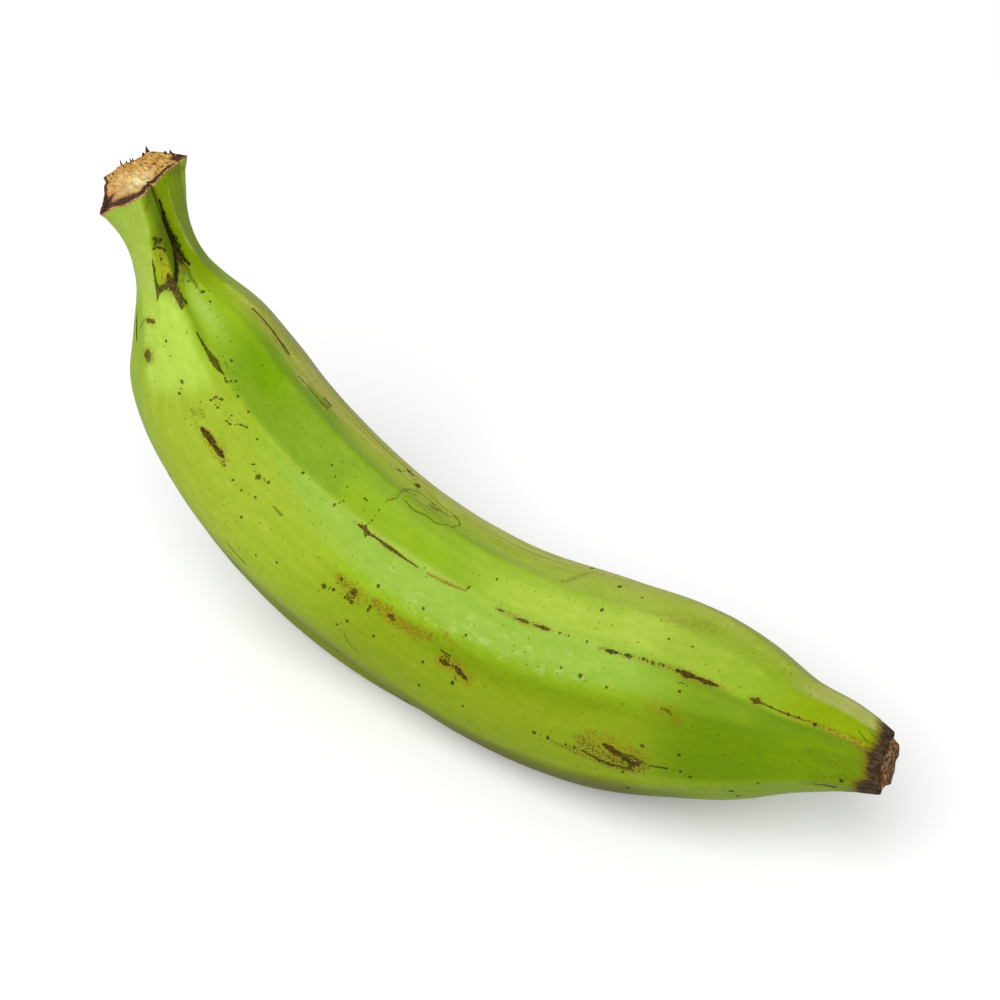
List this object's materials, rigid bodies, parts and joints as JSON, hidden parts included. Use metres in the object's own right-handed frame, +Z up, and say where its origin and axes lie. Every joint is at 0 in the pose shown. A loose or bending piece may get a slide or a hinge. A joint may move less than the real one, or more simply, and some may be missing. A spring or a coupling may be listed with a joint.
{
  "type": "plantain",
  "caption": "Whole green plantain with a cut stalk and a dried flower end, lying on the outside of its bend.",
  "frame": {"origin": "on the resting surface, under the middle of the part's box", "axes": "+Z up, +X along the fruit towards the flower end with the cut stalk raised at -X, +Y across the fruit"},
  "size_m": [0.2208, 0.052, 0.1283],
  "materials": {
    "peel": "satin"
  },
  "bodies": {
    "root": {"plantain": "peel"}
  },
  "joints": []
}
